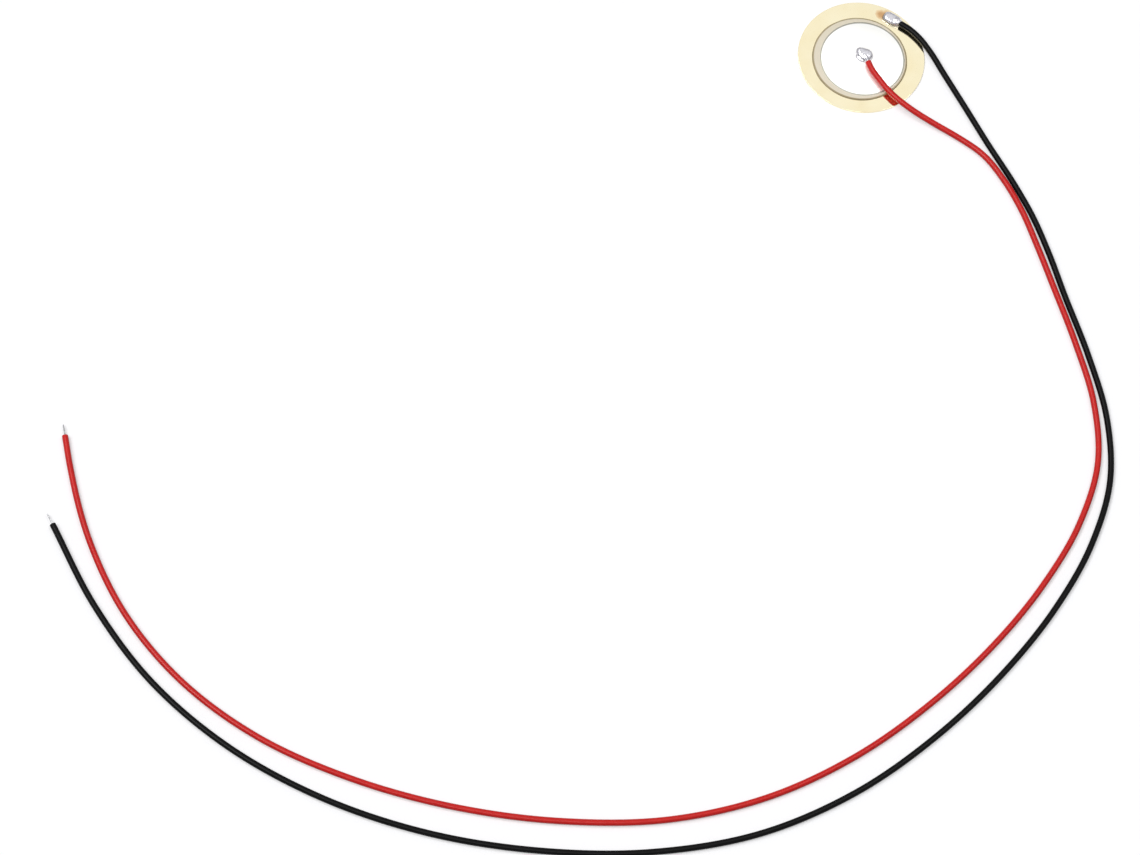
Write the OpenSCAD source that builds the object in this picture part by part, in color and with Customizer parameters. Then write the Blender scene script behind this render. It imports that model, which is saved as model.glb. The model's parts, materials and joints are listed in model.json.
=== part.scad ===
// Piezo bender disc with two soldered leads.
// A round brass plate carries a thin piezo ceramic between two fired silver
// electrodes. The red lead is soldered to the middle of the front electrode and
// the black lead to the bare brass rim. The disc lies on its back, with the
// origin at the centre of its back face, and the leads lie on the same surface.

/* [Brass plate] */
// Diameter of the brass plate
plate_d = 27; // [26:0.5:35]
// Thickness of the brass plate
plate_t = 0.3; // [0.2:0.02:0.36]
// Radius that punching leaves round the front edge
plate_edge_r = 0.08; // [0.02:0.02:0.14]

/* [Ceramic] */
// Diameter of the piezo ceramic
ceramic_d = 20; // [19:0.2:20.6]
// Thickness of the piezo ceramic
ceramic_t = 0.18; // [0.1:0.02:0.3]
// Bevel round the front edge of the ceramic
ceramic_bevel = 0.03; // [0.01:0.01:0.05]
// Middle of the ceramic along X, from the middle of the plate
ceramic_x = -0.3; // [-0.6:0.05:0.6]
// Middle of the ceramic along Y, from the middle of the plate
ceramic_y = -0.55; // [-0.6:0.05:0.6]
// Thickness of the adhesive film under the ceramic
bond_t = 0.02; // [0.02:0.01:0.06]
// How far the adhesive squeezes out round the ceramic
bond_squeeze = 0.12; // [0.04:0.02:0.3]

/* [Silver electrodes] */
// Diameter of the front electrode
front_silver_d = 18; // [14:0.2:18.4]
// Middle of the front electrode along X, from the middle of the plate
front_silver_x = 0.25; // [-0.3:0.05:0.3]
// Middle of the front electrode along Y, from the middle of the plate
front_silver_y = -0.5; // [-0.8:0.05:-0.1]
// Bare margin round the rear electrode
rear_silver_margin = 0.4; // [0.2:0.1:1]
// Thickness of each fired silver electrode
silver_t = 0.02; // [0.02:0.005:0.04]

/* [Centre solder joint] */
// Middle of the joint along X, from the middle of the plate
centre_joint_x = 0.5; // [-1:0.1:1]
// Middle of the joint along Y, from the middle of the plate
centre_joint_y = 0.4; // [-1:0.1:1]
// Diameter of the solder dome on the silver
centre_joint_d = 3.2; // [2.6:0.1:4]
// Height of the solder dome above the silver
centre_joint_h = 1.1; // [1:0.05:1.4]
// Radius of the hollow edge where the solder wets the silver
wetting_r = 0.3; // [0.1:0.05:0.4]
// Direction in which the red lead leaves, turned from +X
red_exit_turn = -62; // [-70:1:-50]
// Rise of the red lead out of its joint, in degrees
red_exit_rise = 4; // [0:1:8]

/* [Rim solder joint] */
// Place of the black lead's joint round the plate, turned from +X
rim_joint_turn = 64; // [60:1:70]
// Distance from the edge of the plate to the middle of the joint
rim_joint_inset = 2; // [1.6:0.05:2.1]
// Width of the solder, across the lead
rim_joint_w = 2.7; // [2.2:0.1:2.8]
// Length of the solder, along the lead
rim_joint_l = 4.2; // [3.8:0.1:4.6]
// Height of the solder above the brass
rim_joint_h = 1.3; // [1.1:0.05:1.6]
// Direction in which the black lead leaves, turned from +X
black_exit_turn = -25; // [-32:1:-20]

/* [Leads] */
// Outer diameter of the insulation
insulation_d = 1.3; // [1:0.05:1.3]
// Diameter of the tinned conductor
conductor_d = 0.4; // [0.3:0.05:0.5]
// Play between the conductor and the bore of the insulation
bore_play = 0.02; // [0.01:0.01:0.04]
// Play under the insulation where a lead crosses the disc
lead_lift = 0.02; // [0.01:0.01:0.05]
// Length of conductor stripped bare at the free end
stripped_l = 2.5; // [1:0.5:6]
// Length of conductor left bare at the solder
solder_gap = 0.3; // [0.1:0.05:0.6]

/* [Hidden] */
$fn = 96;

// Heights of the layers, from the back face up
bond_z = plate_t;
rear_silver_z = bond_z + bond_t;
ceramic_z = rear_silver_z + silver_t;
front_silver_z = ceramic_z + ceramic_t;
silver_top = front_silver_z + silver_t;
rear_silver_r = ceramic_d / 2 - rear_silver_margin;

// Facets of a lead, and of a rounded edge on a turned profile
lead_sides = 8;
arc_steps = 8;
// The conductor is this much slimmer inside the insulation than at its bare ends,
// which it reaches into this far
strand_ease = 0.01;
end_grip = 1;
// The solder neck on the red lead, past the edge of its dome
neck_l = 0.3;
neck_wall = 0.08;
// Where the rim solder is widest, as a share of its length from the far end,
// and how full its ends are: 2 is an ellipse, and more is closer to a box
rim_widest = 0.4;
rim_fullness = 3;
// Room left round a cutting tool
spare = 1;

lead_r = insulation_d / 2;
conductor_r = conductor_d / 2;
bore_r = conductor_r + bore_play;
// Height of a lead's axis above the face it is soldered to
axis_h = lead_r + lead_lift;

// Unit vector from a turn round +Z and a rise from the surface
function heading(turn, rise) = [cos(turn) * cos(rise), sin(turn) * cos(rise), sin(rise)];

// Points of a route where the lead lies on the surface
function lying(points) = [for (p = points) [p[0], p[1], lead_r]];

// Red lead: from its joint out of the solder, then along the surface
red_out = heading(red_exit_turn, red_exit_rise);
red_root = [centre_joint_x, centre_joint_y, silver_top + axis_h];
red_solder_l = centre_joint_d / 2 + neck_l;
red_start = red_root + red_out * (red_solder_l + solder_gap);
red_straight = 1.5;
red_path = concat(
    [red_start, red_start + red_out * red_straight],
    // over the silver, the ceramic and the brass
    [[4.2, -5.4, 1.62], [7.6, -8.8, 1.7], [11.7, -11.4, 1.5], [16.7, -13.6, 0.95]],
    // on along the surface, inside the black lead
    lying([
        [22.2, -15.9], [28.2, -19.3], [33.1, -24.5], [37.6, -31.1], [41.6, -38.8],
        [46, -47.9], [51.9, -60.4], [57.1, -73.7], [59.3, -87], [57, -101.7],
        [51, -117], [42.2, -132.5], [31, -147.5], [18, -161], [1.5, -173],
        [-17, -181], [-38, -185], [-60, -185.6], [-80.8, -183], [-100.5, -177.2],
        [-117, -168], [-130.3, -155.7], [-140.3, -140.8], [-147.4, -124.2], [-149.4, -118.2]
    ])
);

// Black lead: from its joint along the rim, then along the surface
rim_joint_r = plate_d / 2 - rim_joint_inset;
black_out = heading(black_exit_turn, 0);
black_root = [
    rim_joint_r * cos(rim_joint_turn), rim_joint_r * sin(rim_joint_turn), plate_t + axis_h
];
black_start = black_root + black_out * (rim_joint_l / 2 + solder_gap);
black_straight = 1.5;
black_path = concat(
    [black_start, black_start + black_out * black_straight],
    // over the rim and down
    [[11.3, 6.8, plate_t + axis_h], [14.4, 3.4, 0.95], [17.8, -1.2, 0.72]],
    // on along the surface, outside the red lead
    lying([
        [23, -8.3], [29.1, -16.8], [35.2, -24.9], [40.1, -32.3], [44, -39.7],
        [48.6, -49.7], [54.8, -62.7], [60.1, -76.7], [62.2, -91], [59.9, -106],
        [53.9, -122], [45, -138], [33.3, -154], [18.7, -169], [1, -181],
        [-19.5, -188.5], [-41.5, -192], [-64, -192], [-86, -188], [-106, -180.2],
        [-123, -169], [-137, -154.5], [-148.3, -138.3]
    ])
);

// ---- turned and swept forms ----

// Points of an arc, from one angle to another
function arc(middle, r, from, to) = [
    for (i = [0 : arc_steps])
        let (a = from + (to - from) * i / arc_steps) middle + r * [cos(a), sin(a)]
];

// A flat round layer
module layer(d, t, z, at = [0, 0]) {
    translate([at[0], at[1], z]) cylinder(d = d, h = t);
}

// A solder dome with a hollow wetted edge, standing on z = 0
module solder_dome(d, h, edge_r) {
    foot = d / 2;
    // the cap's radius, so that the hollow edge touches both it and the face below
    cap_r = (foot * foot + h * h - 2 * edge_r * h) / (2 * h);
    cap_z = h - cap_r;
    meet = atan2(edge_r - cap_z, foot);
    profile = concat(
        [[0, 0]],
        arc([foot, edge_r], edge_r, 270, 180 + meet),
        arc([0, cap_z], cap_r, meet, 90)
    );
    rotate_extrude() polygon(profile);
}

// Half-width of the rim solder at a share s of its length, as a share of its widest
function rim_width(s) = let (
    u = s < rim_widest ? 1 - s / rim_widest : (s - rim_widest) / (1 - rim_widest)
) pow(1 - pow(u, rim_fullness), 1 / rim_fullness);

// Points right round a lead at one station
function ring(path, i, r) = let (
    last = len(path) - 1,
    before = i == 0 ? path[1] - path[0] : path[i] - path[i - 1],
    after = i == last ? path[last] - path[last - 1] : path[i + 1] - path[i],
    along = before / norm(before) + after / norm(after),
    ahead = along / norm(along),
    level = cross(ahead, [0, 0, 1]),
    side = level / norm(level),
    up = cross(side, ahead)
) [
    for (k = [0 : lead_sides - 1])
        let (a = k * 360 / lead_sides) path[i] + r * (cos(a) * side + sin(a) * up)
];

function rings(path, r) = [for (i = [0 : len(path) - 1]) each ring(path, i, r)];

// Two triangles that fill a quadrilateral
function quad(a, b, c, d) = [[a, b, c], [a, c, d]];

// The wall between neighbouring rings, its points starting at index base
function wall(stations, base) = [
    for (i = [0 : stations - 2], k = [0 : lead_sides - 1])
        let (
            n = (k + 1) % lead_sides,
            here = base + i * lead_sides,
            next = here + lead_sides
        )
        each quad(here + k, here + n, next + n, next + k)
];

function turned_over(faces) = [for (f = faces) [f[2], f[1], f[0]]];

// A tube with a bore along a route
module swept_tube(path, r, inner_r) {
    stations = len(path);
    inner = stations * lead_sides;
    last = (stations - 1) * lead_sides;
    start_face = [
        for (k = [0 : lead_sides - 1])
            let (n = (k + 1) % lead_sides) each quad(n, k, inner + k, inner + n)
    ];
    end_face = [
        for (k = [0 : lead_sides - 1])
            let (n = (k + 1) % lead_sides)
            each quad(last + k, last + n, inner + last + n, inner + last + k)
    ];
    polyhedron(
        points = concat(rings(path, r), rings(path, inner_r)),
        faces = concat(
            wall(stations, 0), turned_over(wall(stations, inner)), start_face, end_face
        )
    );
}

// A solid core along a route
module swept_core(path, r) {
    stations = len(path);
    last = (stations - 1) * lead_sides;
    polyhedron(
        points = rings(path, r),
        faces = concat(
            wall(stations, 0),
            [[for (k = [lead_sides - 1 : -1 : 0]) k]],
            [[for (k = [0 : lead_sides - 1]) last + k]]
        )
    );
}

// A round bar from a point, along a direction
module bar(from, along, l, r, end_r = -1) {
    turn = atan2(along[1], along[0]);
    rise = asin(along[2] / norm(along));
    translate(from) rotate([0, 90 - rise, turn])
        cylinder(r1 = r, r2 = end_r < 0 ? r : end_r, h = l);
}

// The conductor's round end, from the middle of its joint to the insulation
module soldered_end(root, out, solder_l) {
    bar(root, out, solder_l + solder_gap, conductor_r);
}

// A whole conductor: round at both bare ends, and swept through the insulation
module conductor(path, root, out, solder_l) {
    last = len(path) - 1;
    leg = path[last] - path[last - 1];
    free_out = leg / norm(leg);
    core_path = concat(
        [path[0] - out * end_grip],
        [for (i = [1 : last - 1]) path[i]],
        [path[last] + free_out * end_grip]
    );
    soldered_end(root, out, solder_l);
    swept_core(core_path, conductor_r - strand_ease);
    bar(path[last], free_out, stripped_l, conductor_r);
}

// ---- the disc ----

module brass_plate() {
    r = plate_d / 2;
    corner = arc([r - plate_edge_r, plate_t - plate_edge_r], plate_edge_r, 0, 90);
    color("#e6cf8a")
        rotate_extrude($fn = 180) polygon(concat([[0, 0], [r, 0]], corner, [[0, plate_t]]));
}

module bond_layer() {
    r = ceramic_d / 2;
    fillet_h = bond_t + silver_t + ceramic_t / 3;
    color("#9c8d6c") translate([ceramic_x, ceramic_y, bond_z]) difference() {
        // a film with a sloping bead of squeezed-out adhesive round it
        rotate_extrude()
            polygon([[0, 0], [r + bond_squeeze, 0], [r, fillet_h], [0, fillet_h]]);
        translate([0, 0, bond_t]) cylinder(r = rear_silver_r, h = silver_t + spare);
        translate([0, 0, bond_t + silver_t]) cylinder(r = r, h = fillet_h + spare);
    }
}

module rear_electrode() {
    color("#d9d9d4")
        layer(2 * rear_silver_r, silver_t, rear_silver_z, [ceramic_x, ceramic_y]);
}

module ceramic_disc() {
    r = ceramic_d / 2;
    color("#d8ccb2") translate([ceramic_x, ceramic_y, ceramic_z])
        rotate_extrude() polygon([
            [0, 0], [r, 0], [r, ceramic_t - ceramic_bevel], [r - ceramic_bevel, ceramic_t],
            [0, ceramic_t]
        ]);
}

module front_electrode() {
    color("#f4f4f1")
        layer(front_silver_d, silver_t, front_silver_z, [front_silver_x, front_silver_y]);
}

// ---- the solder joints ----

module centre_solder() {
    color("#c9c9cf") difference() {
        union() {
            translate([centre_joint_x, centre_joint_y, silver_top])
                solder_dome(centre_joint_d, centre_joint_h, wetting_r);
            // solder drawn along the strands, from the top of the dome
            intersection() {
                bar(
                    red_root, red_out, red_solder_l,
                    centre_joint_h - axis_h, conductor_r + neck_wall
                );
                translate([centre_joint_x, centre_joint_y, silver_top])
                    cylinder(r = red_solder_l + spare, h = centre_joint_h + spare);
            }
        }
        soldered_end(red_root, red_out, red_solder_l);
    }
}

module rim_solder() {
    half_w = rim_joint_w / 2;
    // the blob is part of a turned form, whose axis lies this far above the brass
    turned_r = (half_w * half_w + rim_joint_h * rim_joint_h) / (2 * rim_joint_h);
    turned_h = rim_joint_h - turned_r;
    steps = 2 * arc_steps;
    outline = [
        for (i = [0 : steps])
            let (s = (1 - cos(i * 180 / steps)) / 2) [turned_r * rim_width(s), s * rim_joint_l]
    ];
    far_end = [black_root[0], black_root[1], plate_t + turned_h] - black_out * rim_joint_l / 2;
    color("#c9c9cf") difference() {
        translate(far_end) rotate([0, 90, black_exit_turn])
            rotate_extrude() polygon(outline);
        translate([black_root[0], black_root[1], plate_t - rim_joint_l])
            cylinder(r = rim_joint_l, h = rim_joint_l);
        soldered_end(black_root, black_out, rim_joint_l / 2);
    }
}

// ---- the leads ----

module red_insulation() {
    color("#c8191c") swept_tube(red_path, lead_r, bore_r);
}

module red_conductor() {
    color("#b9bcc2") conductor(red_path, red_root, red_out, red_solder_l);
}

module black_insulation() {
    color("#17171a") swept_tube(black_path, lead_r, bore_r);
}

module black_conductor() {
    color("#b9bcc2") conductor(black_path, black_root, black_out, rim_joint_l / 2);
}

brass_plate();
bond_layer();
rear_electrode();
ceramic_disc();
front_electrode();
centre_solder();
rim_solder();
red_insulation();
red_conductor();
black_insulation();
black_conductor();
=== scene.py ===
# Piezo disc with two leads: the looks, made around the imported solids.
import json
import math

import bmesh
import bpy
from mathutils import Matrix, Vector, noise

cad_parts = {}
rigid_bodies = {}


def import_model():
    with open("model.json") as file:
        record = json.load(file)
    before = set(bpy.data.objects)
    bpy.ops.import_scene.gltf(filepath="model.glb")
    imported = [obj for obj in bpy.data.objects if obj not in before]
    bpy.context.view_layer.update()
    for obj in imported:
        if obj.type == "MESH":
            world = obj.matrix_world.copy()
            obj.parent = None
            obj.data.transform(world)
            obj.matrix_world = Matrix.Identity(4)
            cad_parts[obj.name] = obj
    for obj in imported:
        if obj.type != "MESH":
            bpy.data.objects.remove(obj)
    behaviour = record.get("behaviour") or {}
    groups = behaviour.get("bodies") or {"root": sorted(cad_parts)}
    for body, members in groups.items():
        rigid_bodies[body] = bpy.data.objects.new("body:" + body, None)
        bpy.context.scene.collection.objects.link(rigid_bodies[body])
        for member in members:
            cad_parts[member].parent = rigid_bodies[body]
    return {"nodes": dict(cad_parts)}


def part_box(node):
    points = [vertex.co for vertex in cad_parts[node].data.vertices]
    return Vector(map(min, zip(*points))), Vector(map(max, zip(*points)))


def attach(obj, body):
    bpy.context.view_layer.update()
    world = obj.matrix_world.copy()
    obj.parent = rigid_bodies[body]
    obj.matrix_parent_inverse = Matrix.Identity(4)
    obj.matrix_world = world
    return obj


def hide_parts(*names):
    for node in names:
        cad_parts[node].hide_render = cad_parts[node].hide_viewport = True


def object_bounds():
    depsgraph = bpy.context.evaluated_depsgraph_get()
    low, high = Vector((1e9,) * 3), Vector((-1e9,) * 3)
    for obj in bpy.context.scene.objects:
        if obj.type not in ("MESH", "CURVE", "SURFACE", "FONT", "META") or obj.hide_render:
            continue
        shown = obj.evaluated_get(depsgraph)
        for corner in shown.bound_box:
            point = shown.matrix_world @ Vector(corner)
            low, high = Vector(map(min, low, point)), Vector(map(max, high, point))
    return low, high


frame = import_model()
cadLow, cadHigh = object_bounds()
mm = 0.001  # pieces are shaped with a millimetre as the unit, and brought to metres at the end

# camera
cameraView = {
    "aim": (-0.04867, -0.098, 0),
    "distance": 1.2,
    "elevation": 62.6,
    "roll": 9,
    "lens": 185.6,
    "clipStart": 0.05,
}
bpy.ops.object.camera_add()
camera = bpy.context.object
camera.matrix_world = (
    Matrix.Translation(cameraView["aim"])
    @ Matrix.Rotation(math.radians(90 - cameraView["elevation"]), 4, "X")
    @ Matrix.Rotation(math.radians(cameraView["roll"]), 4, "Z")
    @ Matrix.Translation((0, 0, cameraView["distance"]))
)
camera.data.lens = cameraView["lens"]
camera.data.clip_start = cameraView["clipStart"]
bpy.context.scene.camera = camera
print("camera placed")


# small helpers
def deselectAll():
    bpy.ops.object.select_all(action="DESELECT")


def makeActive(piece):
    deselectAll()
    piece.select_set(True)
    bpy.context.view_layer.objects.active = piece


def useModifier(piece, kind, **settings):  # adds a modifier and applies it
    makeActive(piece)
    bpy.ops.object.modifier_add(type=kind)
    modifier = piece.modifiers[-1]
    for setting, value in settings.items():
        setattr(modifier, setting, value)
    bpy.ops.object.modifier_apply(modifier=modifier.name)


def pickInEdit(piece, kind, wanted):  # enters edit mode with what the test names selected
    makeActive(piece)
    bpy.ops.object.mode_set(mode="EDIT")
    bpy.ops.mesh.select_mode(type=kind)
    bpy.ops.mesh.select_all(action="DESELECT")
    shape = bmesh.from_edit_mesh(piece.data)
    for part in {"VERT": shape.verts, "EDGE": shape.edges, "FACE": shape.faces}[kind]:
        part.select_set(wanted(part))
    shape.select_flush_mode()
    bmesh.update_edit_mesh(piece.data)


def leaveEdit():
    bpy.ops.object.mode_set(mode="OBJECT")


def facesUp(face):
    return face.normal.z > 0.9


def edgesAt(height):  # a test for edges that lie at one height, to a thousandth of a millimetre
    return lambda edge: all(abs(vertex.co.z - height) < 0.001 for vertex in edge.verts)


def bevelAt(piece, height, width, segments):
    pickInEdit(piece, "EDGE", edgesAt(height))
    bpy.ops.mesh.bevel(offset=width, segments=segments)
    leaveEdit()


def boxInMillimetres(node):
    low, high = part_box(node)
    return low / mm, high / mm


def heading(turn, rise):  # unit vector from a turn round +Z and a rise from the surface
    turn, rise = math.radians(turn), math.radians(rise)
    return Vector((math.cos(turn) * math.cos(rise), math.sin(turn) * math.cos(rise), math.sin(rise)))


def finishPiece(piece, name, material, replaced, smoothAngle=30):
    piece.name = piece.data.name = name
    makeActive(piece)
    bpy.ops.object.transform_apply()
    piece.scale = (mm, mm, mm)
    bpy.ops.object.transform_apply()
    bpy.ops.object.shade_smooth_by_angle(angle=math.radians(smoothAngle))
    piece.data.materials.clear()
    piece.data.materials.append(material)
    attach(piece, "root")
    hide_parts(replaced)


def linear(hexColour):  # an sRGB hex colour as linear red, green, blue and alpha
    shares = [int(hexColour[i:i + 2], 16) / 255 for i in (1, 3, 5)]
    return [s / 12.92 if s <= 0.04045 else ((s + 0.055) / 1.055) ** 2.4 for s in shares] + [1]


def addNode(tree, kind, settings=None, links=None):  # an input goes by its name or identifier
    node = tree.nodes.new(kind)

    def socket(key):
        return next(s for s in node.inputs if key in (s.name, s.identifier))

    for key, value in (settings or {}).items():
        if hasattr(node, key):
            setattr(node, key, value)
        else:
            socket(key).default_value = value
    for key, source in (links or {}).items():
        tree.links.new(source, socket(key))
    return node


def newMaterial(name, **surfaceSettings):
    material = bpy.data.materials.new(name)
    material.use_nodes = True
    surface = material.node_tree.nodes["Principled BSDF"]
    for key, value in surfaceSettings.items():
        surface.inputs[key.replace("_", " ")].default_value = value
    return material, material.node_tree, surface


# the leads' routes
redLead = {
    "joint": (0.0005, 0.0004, 0.00121),  # middle of the solder, at the height of the strands
    "turn": -62,
    "rise": 4,
    "toInsulation": 0.0022,
    "straight": 0.0015,
    "overDisc": [
        (0.0042, -0.0054, 0.00162), (0.0076, -0.0088, 0.0017), (0.0117, -0.0114, 0.0015),
        (0.0167, -0.0136, 0.00095),
    ],
    "lying": [  # on the surface, inside the black lead
        (0.0222, -0.0159), (0.0282, -0.0193), (0.0331, -0.0245), (0.0376, -0.0311), (0.0416, -0.0388),
        (0.046, -0.0479), (0.0519, -0.0604), (0.0571, -0.0737), (0.0593, -0.087), (0.057, -0.1017),
        (0.051, -0.117), (0.0422, -0.1325), (0.031, -0.1475), (0.018, -0.161), (0.0015, -0.173),
        (-0.017, -0.181), (-0.038, -0.185), (-0.06, -0.1856), (-0.0808, -0.183), (-0.1005, -0.1772),
        (-0.117, -0.168), (-0.1303, -0.1557), (-0.1403, -0.1408), (-0.1474, -0.1242),
        (-0.1494, -0.1182),
    ],
}
blackLead = {
    "joint": (0.005041, 0.010336, 0.00097),
    "turn": -25,
    "rise": 0,
    "toInsulation": 0.0024,
    "straight": 0.0015,
    "overDisc": [
        (0.0113, 0.0068, 0.00097), (0.0144, 0.0034, 0.00095), (0.0178, -0.0012, 0.00072),
    ],
    "lying": [  # on the surface, outside the red lead
        (0.023, -0.0083), (0.0291, -0.0168), (0.0352, -0.0249), (0.0401, -0.0323), (0.044, -0.0397),
        (0.0486, -0.0497), (0.0548, -0.0627), (0.0601, -0.0767), (0.0622, -0.091), (0.0599, -0.106),
        (0.0539, -0.122), (0.045, -0.138), (0.0333, -0.154), (0.0187, -0.169), (0.001, -0.181),
        (-0.0195, -0.1885), (-0.0415, -0.192), (-0.064, -0.192), (-0.086, -0.188), (-0.106, -0.1802),
        (-0.123, -0.169), (-0.137, -0.1545), (-0.1483, -0.1383),
    ],
}
leadBuild = {
    "length": 400,
    "insulationRadius": 0.65,
    "boreRadius": 0.22,
    "insulationSides": 24,
    "cutRound": 0.05,  # the cutter leaves a slightly rounded edge
    "spacing": 1.2,
    "strands": 6,  # round one in the middle
    "strandRadius": 0.055,
    "strandPitch": 5.5,
    "strandStep": 0.15,
    "strandSides": 8,
    "gather": 0.3,  # the share by which the strands close up towards their cut
    "unevenCut": 0.04,
    "tinRadius": 0.12,  # tin between the strands at the bare ends
    "tinShort": 0.25,  # it ends this far before the cut
    "coreRadius": 0.19,
    "strandReach": 1.5,  # how far the modelled strands go into the insulation
    "stripped": 2.5,
}


def routeCorners(lead):
    out = heading(lead["turn"], lead["rise"])
    start = Vector(lead["joint"]) + out * lead["toInsulation"]
    lying = [(x, y, leadBuild["insulationRadius"] * mm) for x, y in lead["lying"]]
    corners = [start, start + out * lead["straight"], *map(Vector, lead["overDisc"] + lying)]
    return [corner / mm for corner in corners]


def smoothRoute(corners, spacing):
    # rounds the bends between the corners, and goes level over a hump's top and at its foot
    legs = [b - a for a, b in zip(corners, corners[1:])]
    slopes = [leg.normalized() for leg in legs]
    along = [slopes[0], slopes[0]]
    for i in range(2, len(corners) - 1):
        before, after = slopes[i - 1], slopes[i]
        share = legs[i].length / (legs[i - 1].length + legs[i].length)
        tangent = before.lerp(after, 1 - share)
        climbs = before.z * after.z > 0
        tangent.z = 2 * before.z * after.z / (before.z + after.z) if climbs else 0
        along.append(tangent)
    along.append(slopes[-1])
    line = []
    for i, leg in enumerate(legs):
        steps = max(3, round(leg.length / spacing))
        for k in range(steps):
            t = k / steps
            pull = leg.length * t * (1 - t)
            ease = t * t * (3 - 2 * t)
            point = corners[i].lerp(corners[i + 1], ease)
            line.append(point + along[i] * pull * (1 - t) - along[i + 1] * pull * t)
    return line + [corners[-1]]


def tubes(name, lines, sides, capped):
    # one object of round tubes, each a list of points and its radius, with a UV map along it
    thickest = max(radius for points, radius in lines)
    curve = bpy.data.curves.new(name, "CURVE")
    curve.dimensions = "3D"
    curve.bevel_depth = thickest
    curve.bevel_resolution = sides // 2 - 2
    curve.use_fill_caps = capped
    for points, radius in lines:
        spline = curve.splines.new("POLY")
        spline.points.add(len(points) - 1)
        for place, point in zip(spline.points, points):
            place.co = (*point, 1)
            place.radius = radius / thickest
    piece = bpy.data.objects.new(name, curve)
    bpy.context.collection.objects.link(piece)
    makeActive(piece)
    bpy.ops.object.convert(target="MESH")
    return bpy.context.object


def insulationOn(name, line):
    piece = tubes(name, [(line, leadBuild["insulationRadius"])], leadBuild["insulationSides"], False)
    wall = leadBuild["insulationRadius"] - leadBuild["boreRadius"]
    useModifier(piece, "SOLIDIFY", thickness=wall, offset=-1, use_even_offset=True)
    useModifier(
        piece, "BEVEL", width=leadBuild["cutRound"], segments=3,
        limit_method="ANGLE", angle_limit=math.radians(60),
    )
    return piece


def twistedEnd(start, out, length, uneven):
    # strands laid round a straight one, with the tin between them
    side = out.cross((0, 0, 1)).normalized()
    up = side.cross(out)
    steps = round(length / leadBuild["strandStep"])
    lines = [([start, start + out * (length - leadBuild["tinShort"])], leadBuild["tinRadius"])]
    lines.append(([start, start + out * (length + uneven)], leadBuild["strandRadius"]))
    for k in range(leadBuild["strands"]):
        cut = length + uneven * math.sin(5 * k + 1)  # no two are cut alike
        points = []
        for i in range(steps + 1):
            along = cut * i / steps
            turn = math.tau * (k / leadBuild["strands"] + along / leadBuild["strandPitch"])
            ring = 2 * leadBuild["strandRadius"] * (1 - leadBuild["gather"] * (i / steps) ** 2)
            points.append(start + out * along + (side * math.cos(turn) + up * math.sin(turn)) * ring)
        lines.append((points, leadBuild["strandRadius"]))
    return lines


def conductorIn(name, line, lead):
    out = heading(lead["turn"], lead["rise"])
    reach = leadBuild["strandReach"]
    freeOut = (line[-1] - line[-2]).normalized()
    core = [p for p in line if min((p - line[0]).length, (p - line[-1]).length) > reach]
    core = [line[0] + out * reach] + core + [line[-1] - freeOut * reach]
    solderSide = twistedEnd(line[0] + out * reach, -out, reach + lead["toInsulation"] / mm, 0)
    freeSide = twistedEnd(
        line[-1] - freeOut * reach, freeOut, reach + leadBuild["stripped"], leadBuild["unevenCut"]
    )
    everyTube = [(core, leadBuild["coreRadius"]), *solderSide, *freeSide]
    return tubes(name, everyTube, leadBuild["strandSides"], True)


# materials, with their sizes in millimetres
brassFinish = {
    "bright": "#fbf1cf",
    "tarnished": "#f7eac2",
    "tarnishPatch": 6,
    "rollTurn": 35,
    "rollLine": (14, 0.14),  # how long and how wide a line left by the rollers is
    "rollDepth": 0.002,
    "sway": 7,  # the strip isn't quite flat
    "swayDepth": 0.03,
    "flux": "#efd3a8",
    "burntFlux": "#cfa272",
    "fluxShift": (-1.15, 0.1),  # from the joint, along the lead and across it
    "fluxSize": (2.4, 1.45),
    "fluxRagged": 0.7,  # lobes of its edge to a millimetre
    "fluxWaver": 0.9,  # how far they reach, as a share of the pool, and so with the next four
    "fluxEnds": 1.55,
    "fluxFull": 1.25,
    "burntEnds": 1.35,
    "burntFull": 0.75,
}


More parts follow.
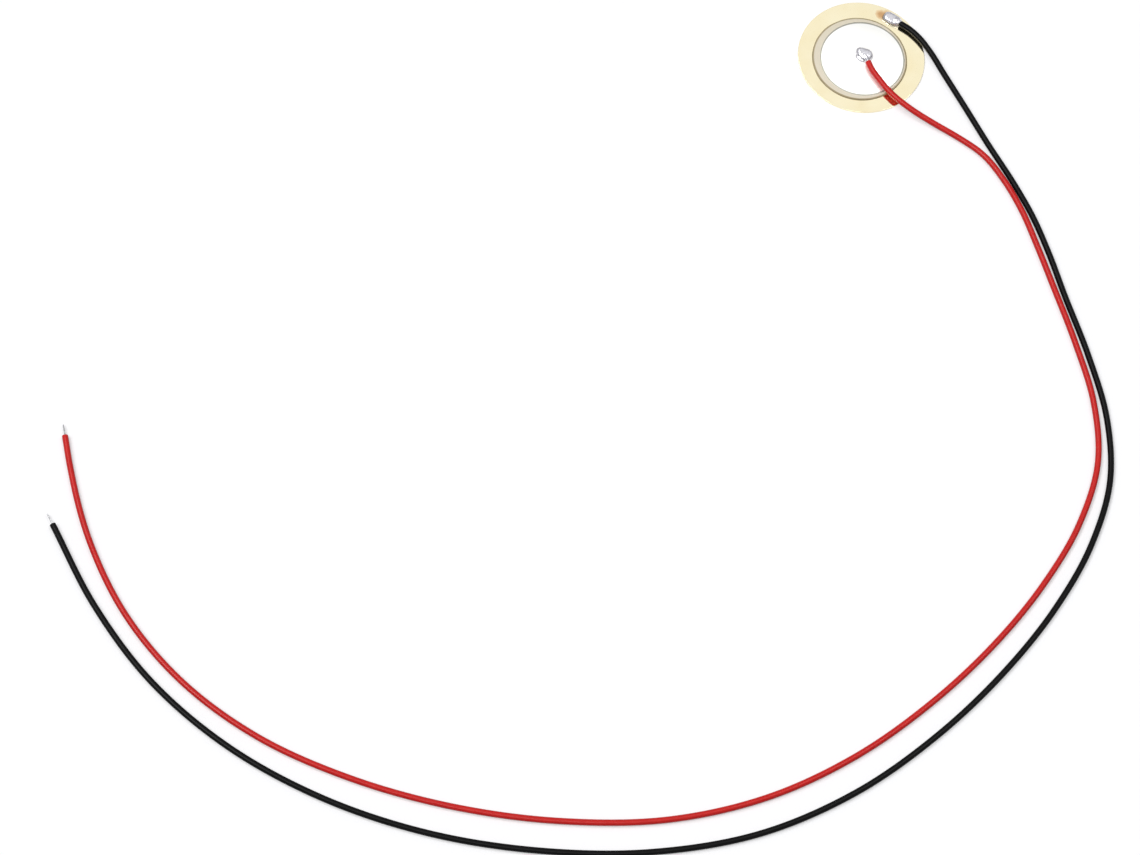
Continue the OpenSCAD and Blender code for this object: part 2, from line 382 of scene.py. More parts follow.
def makeBrass(joint, turn):
    # brass strip, bright rolled and punched: a soft golden mirror with faint lines along the
    # roll, a little unflat, with amber flux burnt on beside the solder
    material, tree, surface = newMaterial("brass_bright_rolled", Metallic=1)
    place = addNode(tree, "ShaderNodeTexCoord").outputs["Object"]
    lineLength, lineWidth = brassFinish["rollLine"]
    alongRoll = addNode(
        tree, "ShaderNodeMapping",
        {
            "vector_type": "TEXTURE",
            "Rotation": (0, 0, math.radians(brassFinish["rollTurn"])),
            "Scale": (lineLength * mm, lineWidth * mm, mm),
        },
        {"Vector": place},
    )
    lines = addNode(
        tree, "ShaderNodeTexNoise", {"Scale": 1, "Detail": 3, "Roughness": 0.6},
        {"Vector": alongRoll.outputs["Vector"]},
    )
    inMillimetres = addNode(
        tree, "ShaderNodeMapping", {"vector_type": "TEXTURE", "Scale": (mm, mm, mm)}, {"Vector": place}
    ).outputs["Vector"]
    sway = addNode(
        tree, "ShaderNodeTexNoise", {"Scale": 1 / brassFinish["sway"], "Detail": 1},
        {"Vector": inMillimetres},
    )
    clouds = addNode(
        tree, "ShaderNodeTexNoise", {"Scale": 1 / brassFinish["tarnishPatch"], "Detail": 2},
        {"Vector": inMillimetres},
    )
    tarnish = addNode(
        tree, "ShaderNodeMapRange", {"From Min": 0.35, "From Max": 0.75}, {"Value": clouds.outputs["Fac"]}
    )
    metalColour = addNode(
        tree, "ShaderNodeMix",
        {
            "data_type": "RGBA",
            "A_Color": linear(brassFinish["bright"]),
            "B_Color": linear(brassFinish["tarnished"]),
        },
        {"Factor_Float": tarnish.outputs["Result"]},
    )
    # the flux lies in an uneven pool under the joint and past the end that faces away from the lead
    along, across = brassFinish["fluxShift"]
    length, width = brassFinish["fluxSize"]
    pool = addNode(
        tree, "ShaderNodeMapping",
        {
            "vector_type": "TEXTURE",
            "Location": joint + heading(turn, 0) * along * mm + heading(turn + 90, 0) * across * mm,
            "Rotation": (0, 0, math.radians(turn)),
            "Scale": (length * mm, width * mm, 1),
        },
        {"Vector": place},
    )
    ragged = addNode(
        tree, "ShaderNodeTexNoise", {"Scale": brassFinish["fluxRagged"], "Detail": 1},
        {"Vector": inMillimetres},
    )
    fromMiddle = addNode(
        tree, "ShaderNodeVectorMath", {"operation": "LENGTH"}, {"Vector": pool.outputs["Vector"]}
    )
    edge = addNode(
        tree, "ShaderNodeMath", {"operation": "MULTIPLY_ADD", "Value_001": brassFinish["fluxWaver"]},
        {"Value": ragged.outputs["Fac"], "Value_002": fromMiddle.outputs["Value"]},
    )
    flux = addNode(
        tree, "ShaderNodeMapRange",
        {
            "interpolation_type": "SMOOTHSTEP",
            "From Min": brassFinish["fluxEnds"],
            "From Max": brassFinish["fluxFull"],
        },
        {"Value": edge.outputs["Value"]},
    )
    burnt = addNode(  # the flux is thickest and brownest against the solder
        tree, "ShaderNodeMapRange",
        {
            "interpolation_type": "SMOOTHSTEP",
            "From Min": brassFinish["burntEnds"],
            "From Max": brassFinish["burntFull"],
        },
        {"Value": edge.outputs["Value"]},
    )
    fluxColour = addNode(
        tree, "ShaderNodeMix",
        {
            "data_type": "RGBA",
            "A_Color": linear(brassFinish["flux"]),
            "B_Color": linear(brassFinish["burntFlux"]),
        },
        {"Factor_Float": burnt.outputs["Result"]},
    )
    colour = addNode(
        tree, "ShaderNodeMix", {"data_type": "RGBA"},
        {
            "Factor_Float": flux.outputs["Result"],
            "A_Color": metalColour.outputs[2],
            "B_Color": fluxColour.outputs[2],
        },
    )
    tree.links.new(colour.outputs[2], surface.inputs["Base Color"])
    polish = addNode(
        tree, "ShaderNodeMapRange", {"To Min": 0.05, "To Max": 0.14}, {"Value": lines.outputs["Fac"]}
    )
    tree.links.new(polish.outputs["Result"], surface.inputs["Roughness"])
    swayBump = addNode(
        tree, "ShaderNodeBump", {"Strength": 1, "Distance": brassFinish["swayDepth"] * mm},
        {"Height": sway.outputs["Fac"]},
    )
    lineBump = addNode(
        tree, "ShaderNodeBump", {"Strength": 0.5, "Distance": brassFinish["rollDepth"] * mm},
        {"Height": lines.outputs["Fac"], "Normal": swayBump.outputs["Normal"]},
    )
    tree.links.new(lineBump.outputs["Normal"], surface.inputs["Normal"])
    return material


pvcFinish = {
    "red": ("#c20f0c", "#cb1a13", 0.3),  # new, worn and how much it shines
    "black": ("#020203", "#08080a", 0.1),
    "dieLine": (25, 0.12),  # along the lead and round it
    "dieDepth": 0.01,
    "patch": (3, 2),
}


def makePvc(colour):
    # PVC, extruded over the strands: smooth and waxy, with faint lines drawn along it by the die
    new, worn, shine = pvcFinish[colour]
    material, tree, surface = newMaterial(f"pvc_{colour}_extruded", IOR=1.53, Specular_IOR_Level=shine)
    along = addNode(tree, "ShaderNodeUVMap", {"uv_map": "UVMap"}).outputs["UV"]
    around = math.tau * leadBuild["insulationRadius"]
    lineLength, lineWidth = pvcFinish["dieLine"]
    dieLines = addNode(
        tree, "ShaderNodeMapping",
        {"Scale": (leadBuild["length"] / lineLength, around / lineWidth, 1)}, {"Vector": along},
    )
    lines = addNode(
        tree, "ShaderNodeTexNoise", {"Scale": 1, "Detail": 2}, {"Vector": dieLines.outputs["Vector"]}
    )
    patchLength, patchWidth = pvcFinish["patch"]
    uneven = addNode(
        tree, "ShaderNodeMapping",
        {"Scale": (leadBuild["length"] / patchLength, around / patchWidth, 1)}, {"Vector": along},
    )
    patches = addNode(
        tree, "ShaderNodeTexNoise", {"Scale": 1, "Detail": 4}, {"Vector": uneven.outputs["Vector"]}
    )
    shade = addNode(
        tree, "ShaderNodeMapRange", {"From Min": 0.4, "From Max": 0.8}, {"Value": patches.outputs["Fac"]}
    )
    mixed = addNode(
        tree, "ShaderNodeMix",
        {"data_type": "RGBA", "A_Color": linear(new), "B_Color": linear(worn)},
        {"Factor_Float": shade.outputs["Result"]},
    )
    tree.links.new(mixed.outputs[2], surface.inputs["Base Color"])
    polish = addNode(
        tree, "ShaderNodeMapRange", {"To Min": 0.26, "To Max": 0.4}, {"Value": patches.outputs["Fac"]}
    )
    tree.links.new(polish.outputs["Result"], surface.inputs["Roughness"])
    bump = addNode(
        tree, "ShaderNodeBump", {"Strength": 0.4, "Distance": pvcFinish["dieDepth"] * mm},
        {"Height": lines.outputs["Fac"]},
    )
    tree.links.new(bump.outputs["Normal"], surface.inputs["Normal"])
    return material


tinnedFinish = {"bright": "#bfc0c2", "dull": "#8e8e90", "speck": 0.2}


def makeTinnedCopper():
    # copper strands, tinned and drawn: bright grey, dulled a little where they were stripped
    material, tree, surface = newMaterial("copper_tinned_strand", Metallic=1)
    place = addNode(tree, "ShaderNodeTexCoord").outputs["Object"]
    specks = addNode(
        tree, "ShaderNodeMapping", {"vector_type": "TEXTURE", "Scale": (tinnedFinish["speck"] * mm,) * 3},
        {"Vector": place},
    )
    dull = addNode(
        tree, "ShaderNodeTexNoise", {"Scale": 1, "Detail": 3}, {"Vector": specks.outputs["Vector"]}
    )
    mixed = addNode(
        tree, "ShaderNodeMix",
        {
            "data_type": "RGBA",
            "A_Color": linear(tinnedFinish["bright"]),
            "B_Color": linear(tinnedFinish["dull"]),
        },
        {"Factor_Float": dull.outputs["Fac"]},
    )
    tree.links.new(mixed.outputs[2], surface.inputs["Base Color"])
    polish = addNode(
        tree, "ShaderNodeMapRange", {"To Min": 0.18, "To Max": 0.38}, {"Value": dull.outputs["Fac"]}
    )
    tree.links.new(polish.outputs["Result"], surface.inputs["Roughness"])
    return material


epoxyFinish = {"thick": "#7d6e4c", "thin": "#a08f68", "cloud": 0.9}


def makeEpoxy():
    # epoxy film, squeezed out and cured: a brownish, glossy bead round the ceramic
    material, tree, surface = newMaterial("epoxy_cured_bead", IOR=1.55)
    place = addNode(tree, "ShaderNodeTexCoord").outputs["Object"]
    scale = addNode(
        tree, "ShaderNodeMapping", {"vector_type": "TEXTURE", "Scale": (epoxyFinish["cloud"] * mm,) * 3},
        {"Vector": place},
    )
    clouds = addNode(
        tree, "ShaderNodeTexNoise", {"Scale": 1, "Detail": 3}, {"Vector": scale.outputs["Vector"]}
    )
    mixed = addNode(
        tree, "ShaderNodeMix",
        {
            "data_type": "RGBA",
            "A_Color": linear(epoxyFinish["thick"]),
            "B_Color": linear(epoxyFinish["thin"]),
        },
        {"Factor_Float": clouds.outputs["Fac"]},
    )
    tree.links.new(mixed.outputs[2], surface.inputs["Base Color"])
    polish = addNode(
        tree, "ShaderNodeMapRange", {"To Min": 0.15, "To Max": 0.4}, {"Value": clouds.outputs["Fac"]}
    )
    tree.links.new(polish.outputs["Result"], surface.inputs["Roughness"])
    return material


ceramicFinish = {
    "beige": "#d4cab4",
    "pale": "#e6ddca",
    "grain": 0.12,
    "grainDepth": 0.006,
    # the edge's colour: the adhesive's real stain mixed with painted shade of the edge
    "stainAndShade": "#a2936f",
    "stainAndShadeEnds": 0.34,  # from the edge inwards
    "stainAndShadeFull": 0.16,
}


def makeCeramic(middle, radius):
    # lead zirconate titanate, sintered and lapped: a dense beige ceramic with a fine grain,
    # darkened at its edge, partly where the adhesive has crept up and partly as painted shade of its
    # bevelled edge
    material, tree, surface = newMaterial("piezo_ceramic_sintered", IOR=1.6, Roughness=0.5)
    place = addNode(tree, "ShaderNodeTexCoord").outputs["Object"]
    grain = addNode(
        tree, "ShaderNodeMapping", {"vector_type": "TEXTURE", "Scale": (ceramicFinish["grain"] * mm,) * 3},
        {"Vector": place},
    )
    specks = addNode(
        tree, "ShaderNodeTexNoise", {"Scale": 1, "Detail": 4}, {"Vector": grain.outputs["Vector"]}
    )
    mixed = addNode(
        tree, "ShaderNodeMix",
        {
            "data_type": "RGBA",
            "A_Color": linear(ceramicFinish["beige"]),
            "B_Color": linear(ceramicFinish["pale"]),
        },
        {"Factor_Float": specks.outputs["Fac"]},
    )
    fromMiddle = addNode(
        tree, "ShaderNodeVectorMath", {"operation": "DISTANCE", "Vector_001": middle[:]}, {"Vector": place}
    )
    # darkens the outer edge: adhesive crept up, and painted shade of the bevelled edge
    creptAndShaded = addNode(
        tree, "ShaderNodeMapRange",
        {
            "interpolation_type": "SMOOTHSTEP",
            "From Min": radius - ceramicFinish["stainAndShadeEnds"] * mm,
            "From Max": radius - ceramicFinish["stainAndShadeFull"] * mm,
        },
        {"Value": fromMiddle.outputs["Value"]},
    )
    stainedAndShaded = addNode(
        tree, "ShaderNodeMix", {"data_type": "RGBA", "B_Color": linear(ceramicFinish["stainAndShade"])},
        {"Factor_Float": creptAndShaded.outputs["Result"], "A_Color": mixed.outputs[2]},
    )
    tree.links.new(stainedAndShaded.outputs[2], surface.inputs["Base Color"])
    bump = addNode(
        tree, "ShaderNodeBump", {"Strength": 0.5, "Distance": ceramicFinish["grainDepth"] * mm},
        {"Height": specks.outputs["Fac"]},
    )
    tree.links.new(bump.outputs["Normal"], surface.inputs["Normal"])
    return material


silverFinish = {
    "grey": "#f6f5f2",
    "white": "#fdfdfb",
    "grain": 0.15,
    "grainDepth": 0.006,
    # the silver turns greyer towards its very edge
    "greyEdge": "#9c9b90",
    "greyEdgeEnds": 0.42,  # from the edge inwards
    "greyEdgeFull": 0.18,
    # painted shadow: a soft grey ring round the joint
    "paintedShadowRing": "#dcdbd8",
    "shadowRingShift": (0.3, 0.1),  # from the joint, in X and Y
    "shadowRingRagged": 0.9,  # lobes of its edge to a millimetre
    "shadowRingWaver": 1.6,
    "shadowRingFull": 2.4,
    "shadowRingEnds": 3.6,
}


def makeFiredSilver(middle, radius, joint):
    # silver paste, screen printed and fired: white and matte with a fine grain, greyer towards
    # its very edge, with a painted shadow round the joint: a soft grey ring
    material, tree, surface = newMaterial("silver_fired_paste", Metallic=1)
    place = addNode(tree, "ShaderNodeTexCoord").outputs["Object"]
    fromMiddle = addNode(
        tree, "ShaderNodeVectorMath", {"operation": "DISTANCE", "Vector_001": middle[:]}, {"Vector": place}
    )
    # greys the last stretch of the silver towards its edge
    thin = addNode(
        tree, "ShaderNodeMapRange",
        {
            "interpolation_type": "SMOOTHSTEP",
            "From Min": radius - silverFinish["greyEdgeEnds"] * mm,
            "From Max": radius - silverFinish["greyEdgeFull"] * mm,
        },
        {"Value": fromMiddle.outputs["Value"]},
    )
    grain = addNode(
        tree, "ShaderNodeMapping", {"vector_type": "TEXTURE", "Scale": (silverFinish["grain"] * mm,) * 3},
        {"Vector": place},
    )
    specks = addNode(
        tree, "ShaderNodeTexNoise", {"Scale": 1, "Detail": 4}, {"Vector": grain.outputs["Vector"]}
    )
    white = addNode(
        tree, "ShaderNodeMix",
        {
            "data_type": "RGBA",
            "A_Color": linear(silverFinish["grey"]),
            "B_Color": linear(silverFinish["white"]),
        },
        {"Factor_Float": specks.outputs["Fac"]},
    )
    edged = addNode(
        tree, "ShaderNodeMix", {"data_type": "RGBA", "B_Color": linear(silverFinish["greyEdge"])},
        {"Factor_Float": thin.outputs["Result"], "A_Color": white.outputs[2]},
    )
    # a painted grey shadow ring round the joint, with a ragged edge
    right, up = silverFinish["shadowRingShift"]
    shadowRingPlace = addNode(
        tree, "ShaderNodeMapping",
        {
            "vector_type": "TEXTURE",
            "Location": (joint.x + right * mm, joint.y + up * mm, 0),
            "Scale": (mm, mm, 1),
        },
        {"Vector": place},
    )
    fromJoint = addNode(
        tree, "ShaderNodeVectorMath", {"operation": "LENGTH"}, {"Vector": shadowRingPlace.outputs["Vector"]}
    )
    ragged = addNode(
        tree, "ShaderNodeTexNoise", {"Scale": silverFinish["shadowRingRagged"] / mm, "Detail": 3},
        {"Vector": place},
    )
    edge = addNode(
        tree, "ShaderNodeMath", {"operation": "MULTIPLY_ADD", "Value_001": silverFinish["shadowRingWaver"]},
        {"Value": ragged.outputs["Fac"], "Value_002": fromJoint.outputs["Value"]},
    )
    paintedShadowRing = addNode(
        tree, "ShaderNodeMapRange",
        {
            "interpolation_type": "SMOOTHSTEP",
            "From Min": silverFinish["shadowRingEnds"],
            "From Max": silverFinish["shadowRingFull"],
            "To Max": 0.5,
        },
        {"Value": edge.outputs["Value"]},
    )
    colour = addNode(
        tree, "ShaderNodeMix", {"data_type": "RGBA", "B_Color": linear(silverFinish["paintedShadowRing"])},
        {"Factor_Float": paintedShadowRing.outputs["Result"], "A_Color": edged.outputs[2]},
    )
    tree.links.new(colour.outputs[2], surface.inputs["Base Color"])
    polish = addNode(
        tree, "ShaderNodeMapRange", {"To Min": 0.42, "To Max": 0.56}, {"Value": specks.outputs["Fac"]}
    )
    tree.links.new(polish.outputs["Result"], surface.inputs["Roughness"])
    bump = addNode(
        tree, "ShaderNodeBump", {"Strength": 0.5, "Distance": silverFinish["grainDepth"] * mm},
        {"Height": specks.outputs["Fac"]},
    )
    tree.links.new(bump.outputs["Normal"], surface.inputs["Normal"])
    return material


solderFinish = {
    # both greys carry a lilac tint: a painted reflection of a lilac-grey surround
    "bright": "#e6e5ea",
    "frosted": "#c3c2ca",
    "frostRagged": 1.4,  # patches to a millimetre
    "grain": 0.14,
    "grainDepth": 0.01,
}


def makeSolder():
    # tin-lead solder, laid by hand: bright, with a frosted grain where it froze slowly; both greys are
    # tinted lilac as a painted reflection of a lilac-grey surround
    material, tree, surface = newMaterial("solder_tin_lead_frozen", Metallic=1)
    place = addNode(tree, "ShaderNodeTexCoord").outputs["Object"]
    inMillimetres = addNode(
        tree, "ShaderNodeMapping", {"vector_type": "TEXTURE", "Scale": (mm,) * 3}, {"Vector": place}
    ).outputs["Vector"]
    clouds = addNode(
        tree, "ShaderNodeTexNoise", {"Scale": solderFinish["frostRagged"], "Detail": 3},
        {"Vector": inMillimetres},
    )
    grain = addNode(
        tree, "ShaderNodeTexVoronoi", {"feature": "F1", "Scale": 1 / solderFinish["grain"]},
        {"Vector": inMillimetres},
    )
    mixed = addNode(
        tree, "ShaderNodeMix",
        {
            "data_type": "RGBA",
            "A_Color": linear(solderFinish["bright"]),
            "B_Color": linear(solderFinish["frosted"]),
        },
        {"Factor_Float": clouds.outputs["Fac"]},
    )
    tree.links.new(mixed.outputs[2], surface.inputs["Base Color"])
    polish = addNode(
        tree, "ShaderNodeMapRange", {"From Min": 0.35, "From Max": 0.65, "To Min": 0.1, "To Max": 0.26},
        {"Value": clouds.outputs["Fac"]},
    )
    tree.links.new(polish.outputs["Result"], surface.inputs["Roughness"])
    bump = addNode(
        tree, "ShaderNodeBump", {"Strength": 0.2, "Distance": solderFinish["grainDepth"] * mm},
        {"Height": grain.outputs["Distance"]},
    )
    tree.links.new(bump.outputs["Normal"], surface.inputs["Normal"])
    return material


# leads
tinnedCopper = makeTinnedCopper()

for lead, colour in ((redLead, "red"), (blackLead, "black")):
    line = smoothRoute(routeCorners(lead), leadBuild["spacing"])
    insulation = insulationOn(colour + "Insulation", line)
    pvc = makePvc(colour)
    finishPiece(insulation, colour + "Insulation", pvc, colour + "_insulation")
    conductor = conductorIn(colour + "Conductor", line, lead)
    finishPiece(conductor, colour + "Conductor", tinnedCopper, colour + "_conductor")
print("leads laid")

# brass plate
plateHigh = boxInMillimetres("brass_plate")[1]  # the plate stands on zero
brassPlate = {
    "radius": plateHigh.x,
    "thickness": plateHigh.z,
    "rollOver": 0.08,  # the punch rounds the front edge
    "burr": 0.012,
}
roundSides = 256  # of the plate, the adhesive and the ceramic
bpy.ops.mesh.primitive_cylinder_add(
    vertices=roundSides, radius=brassPlate["radius"], depth=brassPlate["thickness"],
    location=(0, 0, brassPlate["thickness"] / 2),
)
plate = bpy.context.object
bpy.ops.object.transform_apply()
bevelAt(plate, brassPlate["thickness"], brassPlate["rollOver"], 6)
bevelAt(plate, 0, brassPlate["burr"], 2)
brass = makeBrass(Vector(blackLead["joint"]), blackLead["turn"])
finishPiece(plate, "brassPlate", brass, "brass_plate")
print("brass plate made")

# adhesive, ceramic and silver
def roundLayer(radius, bottom, top, middle, sides):  # a flat disc, still in millimetres
    bpy.ops.mesh.primitive_cylinder_add(
        vertices=sides, radius=radius, depth=top - bottom,
        location=(middle.x, middle.y, (bottom + top) / 2),
    )
    layer = bpy.context.object
    bpy.ops.object.transform_apply()
    return layer


def waverEdge(piece, middle, layer):
    # moves the outermost stretch in and out a little, as squeezed and printed edges are
    for vertex in piece.data.vertices:
        arm = vertex.co.xy - middle.xy
        if arm.length > layer["radius"] - layer["waverWidth"]:
            place = Vector((vertex.co.x, vertex.co.y, 0)) / layer["waverPeriod"]
            vertex.co.xy += arm.normalized() * (layer["waver"] * noise.noise(place))


bondLow, bondHigh = boxInMillimetres("bond_layer")
ceramicLow, ceramicHigh = boxInMillimetres("ceramic_disc")
ceramicMiddle = (ceramicLow + ceramicHigh) / 2
ceramicRadius = (ceramicHigh.x - ceramicLow.x) / 2
silverLow, silverHigh = boxInMillimetres("front_electrode")
silverMiddle = (silverLow + silverHigh) / 2

adhesiveBead = {
    "radius": (bondHigh.x - bondLow.x) / 2,
    "filmHeight": 0.02,
    "seam": 0.01,  # from the ceramic's side to the top of the bead
    "rounding": 0.07,
    "waver": 0.06,
    "waverPeriod": 2.4,
    "waverWidth": 0.1,
}
bead = roundLayer(adhesiveBead["radius"], bondLow.z, bondHigh.z, ceramicMiddle, roundSides)
beadWidth = adhesiveBead["radius"] - ceramicRadius
pickInEdit(bead, "FACE", facesUp)
bpy.ops.mesh.inset(thickness=beadWidth - adhesiveBead["seam"], use_even_offset=False)
leaveEdit()
ceramicReach = ceramicRadius + beadWidth / 2
pickInEdit(bead, "EDGE", lambda edge: edgesAt(bondHigh.z)(edge) and all(
    (vertex.co.xy - ceramicMiddle.xy).length > ceramicReach for vertex in edge.verts
))
bpy.ops.mesh.bevel(offset=adhesiveBead["rounding"], segments=4, profile=0.35)
leaveEdit()
pickInEdit(bead, "FACE", lambda face: facesUp(face) and len(face.verts) == roundSides)
bpy.ops.mesh.inset(thickness=adhesiveBead["seam"])
bpy.ops.transform.translate(value=(0, 0, bondLow.z + adhesiveBead["filmHeight"] - bondHigh.z))
leaveEdit()
waverEdge(bead, ceramicMiddle, adhesiveBead)
finishPiece(bead, "adhesiveBead", makeEpoxy(), "bond_layer")

ceramicDisc = {"upperBevel": 0.035, "lowerBevel": 0.01}
ceramic = roundLayer(ceramicRadius, ceramicLow.z, ceramicHigh.z, ceramicMiddle, roundSides)
bevelAt(ceramic, ceramicHigh.z, ceramicDisc["upperBevel"], 3)
bevelAt(ceramic, ceramicLow.z, ceramicDisc["lowerBevel"], 1)
ceramicMaterial = makeCeramic(ceramicMiddle * mm, ceramicRadius * mm)
finishPiece(ceramic, "ceramicDisc", ceramicMaterial, "ceramic_disc")

frontSilver = {
    "radius": (silverHigh.x - silverLow.x) / 2,
    "edgeRound": 0.008,
    "waver": 0.03,
    "waverPeriod": 1.6,
    "waverWidth": 0.1,
    "sides": 512,
}
silver = roundLayer(frontSilver["radius"], silverLow.z, silverHigh.z, silverMiddle, frontSilver["sides"])
bevelAt(silver, silverHigh.z, frontSilver["edgeRound"], 2)
waverEdge(silver, silverMiddle, frontSilver)
silverMaterial = makeFiredSilver(silverMiddle * mm, frontSilver["radius"] * mm, Vector(redLead["joint"]))
finishPiece(silver, "frontElectrode", silverMaterial, "front_electrode")
rearElectrode = frame["nodes"]["rear_electrode"]  # under the ceramic, so it keeps its own shape
rearElectrode.data.materials.clear()
rearElectrode.data.materials.append(silverMaterial)
print("ceramic and silver made")

# solder joints
solderBuild = {
    "poolFoot": 0.4,  # half of it lies below the wetted face, where it is cut off
    "voxel": 0.04,
    "settle": 6,
    "weld": 0.001,
    "smoothAngle": 60,
}


def puddle(outline, base, rings):
    # a pool of solder from its outline, drawn in and raised ring by ring, then rounded
    bpy.ops.mesh.primitive_cylinder_add(vertices=len(outline), radius=1, depth=solderBuild["poolFoot"])
    pool = bpy.context.object
    for vertex in pool.data.vertices:  # the cylinder's foot and rim alternate round it
        x, y = outline[vertex.index // 2]
        vertex.co.x, vertex.co.y = base.x + x, base.y + y
        vertex.co.z += base.z
    pickInEdit(pool, "FACE", facesUp)
    for inward, upward in rings:
        bpy.ops.mesh.inset(thickness=inward, depth=upward)
    leaveEdit()
    useModifier(pool, "SUBSURF", levels=3, render_levels=3)
    return pool


def lump(place, size, turn):  # one rounded lump of a solder joint, with its half sizes
    bpy.ops.mesh.primitive_uv_sphere_add(segments=48, ring_count=24, location=place)
    bpy.context.object.scale = size
    bpy.context.object.rotation_euler.z = math.radians(turn)
    return bpy.context.object


def neck(start, out, length, startRadius, endRadius):  # solder drawn along the strands
    middle = start + out * length / 2
    bpy.ops.mesh.primitive_cone_add(
        vertices=48, radius1=startRadius, radius2=endRadius, depth=length, location=middle,
    )
    bpy.context.object.rotation_mode = "QUATERNION"
    bpy.context.object.rotation_quaternion = out.to_track_quat("Z", "Y")
    return bpy.context.object


def placeAtJoint(origin, out, across, place):  # a place along the lead, across it and up
    along, aside, up = place
    return origin + out * along + across * aside + Vector((0, 0, up))


def fuseSolder(parts, face, joint):
    # melts the parts into one skin, ripples it and cuts it off at the face it has wetted
    deselectAll()
    for part in parts:
        part.select_set(True)
    bpy.context.view_layer.objects.active = parts[0]
    bpy.ops.object.join()
    blob = bpy.context.object
    bpy.ops.object.transform_apply()
    useModifier(blob, "REMESH", mode="VOXEL", voxel_size=solderBuild["voxel"])
    useModifier(blob, "SMOOTH", factor=0.5, iterations=joint["melt"])
    for name, kind, size, strength in joint["ripples"]:
        pattern = bpy.data.textures.new(name, kind)
        pattern.noise_scale = size
        useModifier(
            blob, "DISPLACE", texture=pattern, texture_coords="LOCAL", strength=strength, mid_level=0.5
        )
    useModifier(blob, "SMOOTH", factor=0.5, iterations=solderBuild["settle"])
    pickInEdit(blob, "VERT", lambda vertex: True)
    bpy.ops.mesh.bisect(plane_co=(0, 0, face), plane_no=(0, 0, 1), clear_inner=True)
    leaveEdit()
    top = max(vertex.co.z for vertex in blob.data.vertices)
    pickInEdit(blob, "VERT", lambda vertex: vertex.co.z == top)
    bpy.ops.mesh.select_linked()
    bpy.ops.mesh.select_all(action="INVERT")  # crumbs that the cut has left
    bpy.ops.mesh.delete(type="VERT")
    bpy.ops.mesh.select_all(action="SELECT")
    bpy.ops.mesh.remove_doubles(threshold=solderBuild["weld"])
    bpy.ops.mesh.fill_holes(sides=0)
    leaveEdit()
    return blob


solder = makeSolder()
centreJoint = {
    "melt": 14,
    "ripples": [("centreFolds", "CLOUDS", 1.0, 0.16), ("centreSkin", "CLOUDS", 0.45, 0.03)],
    "outline": [  # round the middle of the joint, with a corner towards the lead
        (0.7, -2.0), (1.4, -1.35), (2.0, -0.45), (2.05, 0.55), (1.0, 1.65), (-1.15, 1.78),
        (-1.95, 1.35), (-2.0, 0.3), (-1.6, -0.75), (-0.3, -1.6),
    ],
    "rings": [(0.05, 0.4), (0.2, 0.48), (0.5, 0.38)],  # inwards and up
    "lobe": ((-0.62, -0.82, 0), (1.3, 0.82, 0.56), -32),  # a lower one beside it: place, size and turn
    "neckRadii": (0.36, 0.34),
    "neckShort": 0.02,  # of the insulation
}
middle = Vector(redLead["joint"]) / mm
base = Vector((middle.x, middle.y, silverHigh.z))
out = heading(redLead["turn"], redLead["rise"])
lobePlace, lobeSize, lobeTurn = centreJoint["lobe"]
neckLength = redLead["toInsulation"] / mm - centreJoint["neckShort"]
parts = [
    puddle(centreJoint["outline"], base, centreJoint["rings"]),
    lump(base + Vector(lobePlace), lobeSize, lobeTurn),
    neck(middle, out, neckLength, *centreJoint["neckRadii"]),
]
centreBlob = fuseSolder(parts, silverHigh.z, centreJoint)
finishPiece(centreBlob, "centreSolder", solder, "centre_solder", solderBuild["smoothAngle"])

rimJoint = {
    "melt": 16,
    "ripples": [("rimFolds", "CLOUDS", 1.2, 0.18), ("rimSkin", "CLOUDS", 0.45, 0.03)],
    "outline": [  # along the lead and across it, a straight-sided capsule
        (2.6, -0.55), (2.7, 0.75), (2.0, 1.45), (0.8, 1.6), (-0.7, 1.6), (-1.6, 1.3), (-1.95, 0.6),
        (-1.95, -0.4), (-1.55, -1.1), (-0.7, -1.3), (0.8, -1.3), (1.9, -1.1),
    ],
    "rings": [(0.05, 0.4), (0.2, 0.45), (0.38, 0.46)],
    "hump": ((1.5, 0.1, 0), (1.0, 0.78, 0.58)),  # over the strands
    "toe": ((2.3, 0.75, 0.15), (0.6, 0.2, 0.3)),  # on the plate, beside the insulation
}
middle = Vector(blackLead["joint"]) / mm
base = Vector((middle.x, middle.y, plateHigh.z))
out = heading(blackLead["turn"], 0)
across = heading(blackLead["turn"] + 90, 0)
capsule = [(out * along + across * aside).xy for along, aside in rimJoint["outline"]]
humpPlace, humpSize = rimJoint["hump"]
toePlace, toeSize = rimJoint["toe"]
parts = [
    puddle(capsule, base, rimJoint["rings"]),
    lump(placeAtJoint(middle, out, across, humpPlace), humpSize, blackLead["turn"]),
    lump(placeAtJoint(base, out, across, toePlace), toeSize, blackLead["turn"]),
]
rimBlob = fuseSolder(parts, plateHigh.z, rimJoint)
finishPiece(rimBlob, "rimSolder", solder, "rim_solder", solderBuild["smoothAngle"])
print("solder laid")

# floor and light
studio = {
    "floorSize": 8,
    "floorDrop": 0.02,  # in millimetres, so that the floor doesn't share the plate's lower face
    "paperSeen": "#d8d8da",
    "paperGlow": 0.34,  # brings the seen paper to white
    "paperLighting": "#b4b4b4",  # what the paper throws back on the part
    "sky": 0.28,  # what the world gives to pale and coloured surfaces
    "horizon": 0.27,  # how bright a mirror finds the low sky, which shapes the solder
    "fullSky": 0.8,  # the height, of 1 at the zenith, from which a mirror finds it white
    # suns, so that the floor is evenly lit: where from, how strong, and how broad in degrees
    "lamps": [
        ((-0.55, -0.25, 0.95), 1.2, 28), ((-0.43, 0.3, 0.85), 0.55, 18),
        ((0.37, 0.15, 0.92), 0.45, 18), ((0.03, -0.42, 0.92), 0.35, 18),
    ],
}


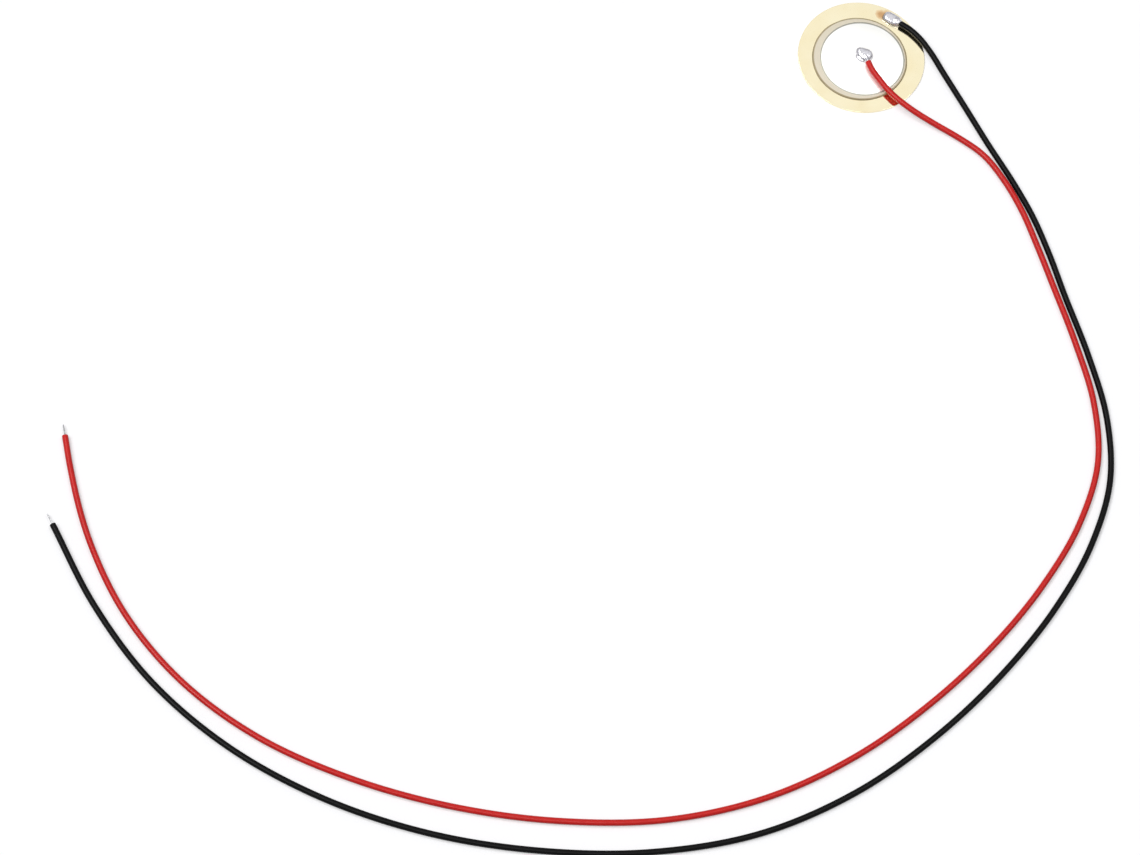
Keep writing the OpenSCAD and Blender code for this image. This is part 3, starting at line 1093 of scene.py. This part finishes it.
def seenDirectly(tree):  # 1 for what the camera, a mirror or glass sees, and 0 for lighting
    rays = addNode(tree, "ShaderNodeLightPath").outputs
    seen = addNode(
        tree, "ShaderNodeMath", {"operation": "MAXIMUM"},
        {"Value": rays["Is Camera Ray"], "Value_001": rays["Is Glossy Ray"]},
    )
    seen = addNode(
        tree, "ShaderNodeMath", {"operation": "MAXIMUM"},
        {"Value": seen.outputs["Value"], "Value_001": rays["Is Transmission Ray"]},
    )
    return seen.outputs["Value"]


def makeFloor():
    # white studio paper: it shows white, keeps soft shadows, and throws back little light
    material, tree, surface = newMaterial("paper_studio_white", Roughness=1, Specular_IOR_Level=0)
    seen = seenDirectly(tree)
    colour = addNode(
        tree, "ShaderNodeMix",
        {
            "data_type": "RGBA",
            "A_Color": linear(studio["paperLighting"]),
            "B_Color": linear(studio["paperSeen"]),
        },
        {"Factor_Float": seen},
    )
    tree.links.new(colour.outputs[2], surface.inputs["Base Color"])
    glow = addNode(
        tree, "ShaderNodeMath", {"operation": "MULTIPLY", "Value_001": studio["paperGlow"]},
        {"Value": seen},
    )
    tree.links.new(glow.outputs["Value"], surface.inputs["Emission Strength"])
    surface.inputs["Emission Color"].default_value = (1, 1, 1, 1)
    return material


floorHeight = cadLow.z - studio["floorDrop"] * mm
bpy.ops.mesh.primitive_plane_add(size=studio["floorSize"], location=(0, 0, floorHeight))
floor = bpy.context.object
floor.name = floor.data.name = "floor"
floor.data.materials.append(makeFloor())

world = bpy.data.worlds.new("studio")
bpy.context.scene.world = world
world.use_nodes = True
tree = world.node_tree
sky = tree.nodes["Background"]
sky.inputs["Color"].default_value = (1, 1, 1, 1)
rays = addNode(tree, "ShaderNodeLightPath").outputs
towards = addNode(tree, "ShaderNodeTexCoord").outputs["Generated"]
direction = addNode(tree, "ShaderNodeSeparateXYZ", None, {"Vector": towards})
mirrored = addNode(
    tree, "ShaderNodeMapRange", {"From Max": studio["fullSky"], "To Min": studio["horizon"]},
    {"Value": direction.outputs["Z"]},
)
inMirror = addNode(
    tree, "ShaderNodeMath", {"operation": "MAXIMUM"},
    {"Value": rays["Is Glossy Ray"], "Value_001": rays["Is Transmission Ray"]},
)
strength = addNode(
    tree, "ShaderNodeMapRange", {"To Min": studio["sky"]},
    {"Value": inMirror.outputs["Value"], "To Max": mirrored.outputs["Result"]},
)
strength = addNode(
    tree, "ShaderNodeMapRange", {"To Max": 1},
    {"Value": rays["Is Camera Ray"], "To Min": strength.outputs["Result"]},
)
tree.links.new(strength.outputs["Result"], sky.inputs["Strength"])

for whereFrom, power, spread in studio["lamps"]:
    bpy.ops.object.light_add(type="SUN", location=whereFrom)
    lamp = bpy.context.object
    lamp.data.angle = math.radians(spread)
    lamp.data.energy = power
    lamp.rotation_euler = Vector(whereFrom).to_track_quat("Z", "Y").to_euler()
bpy.context.scene.view_settings.view_transform = "Standard"
print("floor and light set")

print("scene ready")
